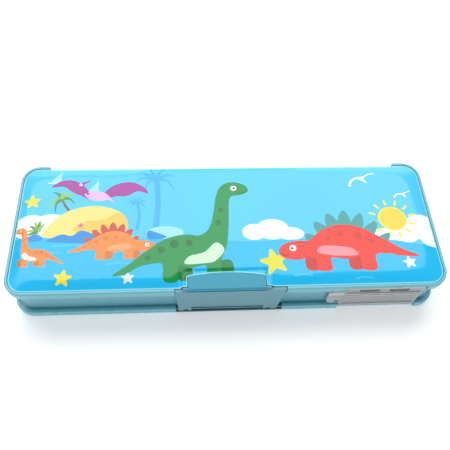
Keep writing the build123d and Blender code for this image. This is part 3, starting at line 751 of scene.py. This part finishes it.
printed_vinyl = vinyl("printed_vinyl")
lid_pad = print_mesh("lid_pad", outline, art, SKY, lid_height, PAD_STEP)
lid_pad.data.materials.append(printed_vinyl)
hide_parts("lid_cover", "lid_foam")
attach(lid_pad, "lid")

# bottom pad: the same sheet without a picture, turned over
base_lo, base_hi = (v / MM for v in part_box("base_cover"))
base_lo.y = cover_lo.y
base_outline = sum(pad_box(base_lo, base_hi), [])

BASE_EDGE = -1.6        # heights as seen from below
base_puff = puffed(base_outline, lambda p: np.full(len(p), BASE_EDGE), BASE_STEP)
BASE_GAIN = -BASE_EDGE / float((sample(base_puff, PROBE) - BASE_EDGE)[0])


def base_height(points):
    """Puffed sheet turned over, lying flat on what the box stands on."""
    rise = BASE_GAIN * np.maximum(sample(base_puff, points) - BASE_EDGE, 0.0)
    return -np.minimum(softmin(BASE_EDGE + rise, np.full(len(points), 0.0), 0.15), 0.0)


plain_vinyl = vinyl("plain_vinyl", srgb(128, 208, 240))
base_pad = print_mesh("base_pad", base_outline, [], SKY, base_height, BASE_STEP)
base_pad.data.flip_normals()
base_pad.data.materials.append(plain_vinyl)
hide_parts("base_cover", "base_foam")
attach(base_pad, "tray")


# ---------------------------------------------------------------- spine sheet over the hinge

SPINE_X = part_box("spine_cover")[1].x / MM
SPINE_COLUMNS = 66
RIPPLE = 0.10           # small waves where the sheet bends
BEND_Z, BEND_WIDTH = 22, 4.0
rear = cover_hi.y - REAR_STEP
# depth and height of the sheet, from the lid pad over the back to the bottom pad
SPINE_PATH = [(rear - 0.5, rim_hi - 0.45), (rear + 0.3, rim_hi - 0.6), (rear + 1.1, rim_hi - 1.3),
              (rear + 1.6, rim_hi - 2.6), (rear + 1.85, 24.6), (rear + 1.8, 22.4), (rear + 1.85, 15.0),
              (rear + 1.8, 7.0), (rear + 1.5, 3.2), (rear + 0.9, 1.9), (rear + 0.2, 1.6), (rear - 0.5, 1.6)]


def spine_mesh(name, path):
    """A sheet over the back, from the lid pad's edge down to the bottom pad's edge."""
    verts, faces = [], []
    for i in range(SPINE_COLUMNS + 1):
        x = -SPINE_X + 2 * SPINE_X * i / SPINE_COLUMNS
        for y, z in path:
            wave = math.sin(x * 0.35 + z * 0.3) * math.exp(-((z - BEND_Z) / BEND_WIDTH) ** 2)
            verts.append((x * MM, (y + RIPPLE * wave) * MM, z * MM))
    m = len(path)
    for i in range(SPINE_COLUMNS):
        for k in range(m - 1):
            a = i * m + k
            faces.append((a, a + 1, a + m + 1, a + m))
    me = bpy.data.meshes.new(name)
    me.from_pydata(verts, [], faces)
    me.polygons.foreach_set("use_smooth", [True] * len(me.polygons))
    ob = bpy.data.objects.new(name, me)
    bpy.context.scene.collection.objects.link(ob)
    bm = bmesh.new()
    bm.from_mesh(me)
    bmesh.ops.recalc_face_normals(bm, faces=bm.faces)
    bm.to_mesh(me)
    bm.free()
    return ob


path = arc_points(SPINE_PATH, 4)
spine = spine_mesh("spine_sheet", path)
spine.data.materials.append(vinyl("spine_vinyl", srgb(128, 208, 250)))
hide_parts("spine_cover")
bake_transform(spine)


# ---------------------------------------------------------------- CAD nodes: materials

frame_plastic = moulded("frame_plastic", srgb(114, 188, 202), 0.28, 0.04, spread=0.03)
dress(frame_plastic, *(name for name in NODES if name.startswith(("lid_", "base_"))
                       and name.endswith(("_frame", "_left", "_middle", "_right", "_lip"))))
dress(moulded("tray_plastic", srgb(112, 176, 192), 0.36, 0.04, spread=0.04), "tray")
dress(moulded("latch_plastic", srgb(96, 154, 170), 0.34, 0.06, spread=0.03), "latch_plate")
dress(moulded("tab_plastic", srgb(46, 150, 178), 0.34, 0.05, 1.40, 0.02), "latch_tab")
dress(moulded("insert_plastic", srgb(140, 200, 206), 0.4), "pencil_rack_left", "pencil_rack_right",
      "eraser_divider")
dress(moulded("sharpener_plastic", srgb(244, 196, 60), 0.3), "sharpener_block")
# the strip under the latch plate is a darker plastic: painted shade of the plate's overhang
dress(moulded("strip_painted_shade", srgb(54, 104, 114), 0.4, 0.04), "base_latch_strip")
dress(metal("steel", (0.55, 0.56, 0.58, 1), 0.28), "latch_pin", "latch_keepers", "sharpener_blade",
      "blade_screw", "tray_screws")
dress(metal("magnet", (0.42, 0.43, 0.45, 1), 0.22, (1, 1, 1)), "latch_magnets")


BOX_Z = 30              # height over which the painted highlight bands are spread
BAND_BLEND = 0.3
FRONT_HIGHLIGHTS = ((5.5, 6.9), (17.0, 20.4), (25.5, 27.2))      # painted highlights on the panel's low, middle and top ribs
BIN_HIGHLIGHTS = ((22.0, 23.6),)                                 # painted highlight along the rim of the bin


def clear_plastic(name, highlight_bands, clear):
    """Clear polystyrene with painted highlights: whiter bands over height ranges in millimetres."""
    m, n, l, p = material(name)
    co = n.new("ShaderNodeTexCoord").outputs["Object"]
    split = n.new("ShaderNodeSeparateXYZ")
    l.new(co, split.inputs["Vector"])
    height = n.new("ShaderNodeMapRange")
    height.inputs["From Max"].default_value = BOX_Z * MM
    l.new(split.outputs["Z"], height.inputs["Value"])
    # the white tone is painted highlight over the clear tone
    clear_tone, highlight_tone = (0.68, 0.73, 0.735, 1), (1.0, 1.0, 1.0, 1)
    stops = [(0.0, clear_tone)]
    for z0, z1 in highlight_bands:
        stops += [(z0 / BOX_Z, clear_tone), ((z0 + BAND_BLEND) / BOX_Z, highlight_tone),
                  ((z1 - BAND_BLEND) / BOX_Z, highlight_tone), (z1 / BOX_Z, clear_tone)]
    tone = ramp(n, l, height.outputs["Result"], stops)
    haze = noise(n, l, co, 40.0, 2.0)
    cloud = ramp(n, l, haze, [(0.3, (0.93, 0.95, 0.95, 1)), (0.7, (1.0, 1.0, 1.0, 1))])
    l.new(multiply(n, l, tone, cloud), p.inputs["Base Color"])
    roughness(n, l, haze, 0.05, 0.12, p, (0.0, 1.0))
    p.inputs["Transmission Weight"].default_value = clear
    p.inputs["IOR"].default_value = 1.45
    bump(n, l, noise(n, l, co, 120.0, 1.0), 0.05, 0.1 * MM, p)
    return m


dress(clear_plastic("clear_front", FRONT_HIGHLIGHTS, 0.5), "drawer_front")
dress(clear_plastic("clear_plastic", BIN_HIGHLIGHTS, 0.8), "sharpener_bin")


def fibre(name, color):
    """Pressed board with short fibres along X."""
    m, n, l, p = material(name)
    co = n.new("ShaderNodeTexCoord").outputs["Object"]
    fib = noise(n, l, co, 300.0, 6.0, 0.7, (1, 6, 6))
    l.new(ramp(n, l, fib, [(0.3, shade(color, 0.8)), (0.7, color)]), p.inputs["Base Color"])
    p.inputs["Roughness"].default_value = 0.9
    bump(n, l, fib, 0.3, 0.1 * MM, p)
    return m


dress(fibre("board", srgb(170, 160, 146)), "spine_board")


# ---------------------------------------------------------------- floor and light

FLOOR_HALF = 3.0
FLOOR_DROP = 0.2 * MM   # the floor lies just below the pad


def floor():
    """A plain pale floor that glows faintly."""
    s = FLOOR_HALF
    me = bpy.data.meshes.new("floor")
    me.from_pydata([(-s, -s, 0), (s, -s, 0), (s, s, 0), (-s, s, 0)], [], [(0, 1, 2, 3)])
    ob = bpy.data.objects.new("floor", me)
    bpy.context.scene.collection.objects.link(ob)
    m, _, _, p = material("floor")
    p.inputs["Base Color"].default_value = (0.93, 0.93, 0.93, 1)
    p.inputs["Roughness"].default_value = 1.0
    p.inputs["Specular IOR Level"].default_value = 0.0
    p.inputs["Emission Color"].default_value = (1, 1, 1, 1)
    p.inputs["Emission Strength"].default_value = 0.30
    me.materials.append(m)
    ob.location.z = -FLOOR_DROP


def softbox(name, at, size, power):
    """A white rectangular light that points at the origin."""
    d = bpy.data.lights.new(name, "AREA")
    d.shape = "RECTANGLE"
    d.size, d.size_y = size
    d.energy = power
    ob = bpy.data.objects.new(name, d)
    bpy.context.scene.collection.objects.link(ob)
    ob.location = at
    ob.rotation_euler = (Vector((0, 0, 0)) - Vector(at)).to_track_quat("-Z", "Y").to_euler()


floor()
softbox("back_box", (-0.1, 0.65, 1.15), (1.7, 0.75), 13.5)
softbox("rear_box", (0.0, 1.3, 0.72), (2.2, 0.55), 9.0)
softbox("left_box", (-1.1, -0.3, 0.6), (0.8, 0.8), 2.5)
softbox("front_box", (0.5, -1.2, 0.9), (1.0, 0.6), 3.0)
world = bpy.data.worlds.new("studio")
world.use_nodes = True
world.node_tree.nodes["Background"].inputs["Color"].default_value = (0.95, 0.98, 1.0, 1)
world.node_tree.nodes["Background"].inputs["Strength"].default_value = 0.34
bpy.context.scene.world = world
bpy.context.scene.view_settings.view_transform = "Standard"
